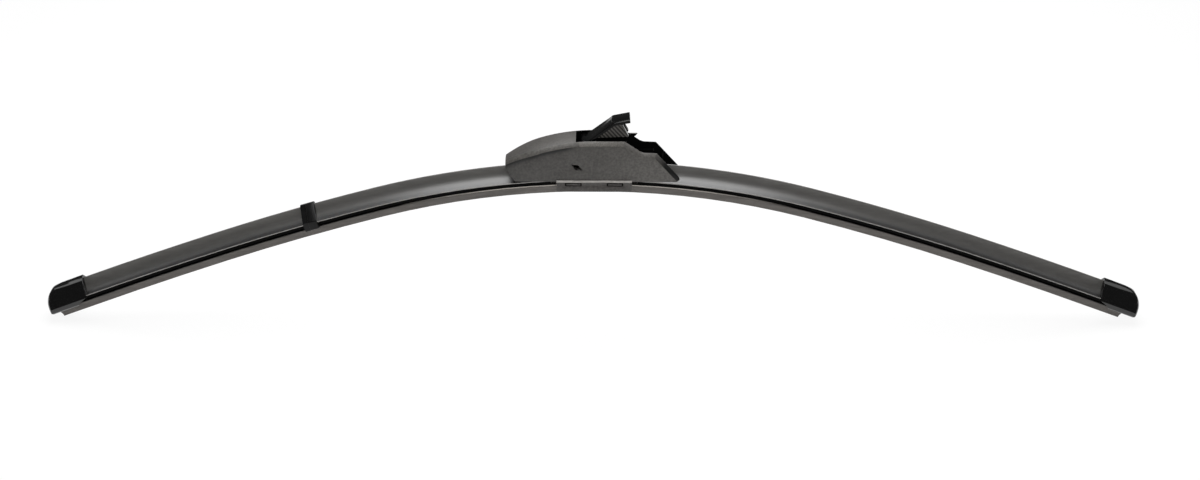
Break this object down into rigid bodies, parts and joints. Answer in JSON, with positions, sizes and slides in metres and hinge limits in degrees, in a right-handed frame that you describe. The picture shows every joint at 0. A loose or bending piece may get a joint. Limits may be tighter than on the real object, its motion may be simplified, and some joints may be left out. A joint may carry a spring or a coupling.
{
  "type": "windscreen wiper blade",
  "caption": "Arched flat wiper blade: rubber strip on spring rails under a concave spoiler, capped ends, and a rocking arm adapter with a hood and a raised locking flap.",
  "frame": {"origin": "On the axis of the adapter's pivot pin, in the middle of the blade's length and width.", "axes": "+X along the blade, to the right in the picture and the way the wiper arm leaves the adapter. +Y to the rear face, away from the viewer. +Z away from the glass."},
  "size_m": [0.623, 0.0232, 0.1247],
  "materials": {
    "wiper_rubber": "matt, slightly bloomed grey-black rubber",
    "rail_steel": "black coated spring steel",
    "spoiler": "matt dark grey elastomer",
    "end_cap": "gloss black moulded plastic",
    "retaining_clip": "semi-gloss black plastic",
    "bracket": "satin dark grey plastic",
    "pin_steel": "ground steel",
    "housing": "satin dark grey plastic",
    "flap": "black plastic"
  },
  "bodies": {
    "adapter": {"adapter_housing": "housing"},
    "blade": {"wiper_rubber": "wiper_rubber", "rail_front": "rail_steel", "rail_rear": "rail_steel", "spoiler_left": "spoiler", "spoiler_right": "spoiler", "end_cap_left": "end_cap", "end_cap_right": "end_cap", "retaining_clip": "retaining_clip", "base_bracket": "bracket", "pivot_pin": "pin_steel"},
    "flap": {"locking_flap": "flap"}
  },
  "joints": [
    {"name": "blade_pivot", "type": "hinge", "parent": "adapter", "child": "blade", "pos_m": [0, 0, 0], "axis": [0, 1, 0], "range_deg": [-4, 4]},
    {"name": "flap_hinge", "type": "hinge", "parent": "adapter", "child": "flap", "pos_m": [-0.0056, 0, 0.0116], "axis": [0, 1, 0], "range_deg": [0, 37]}
  ]
}
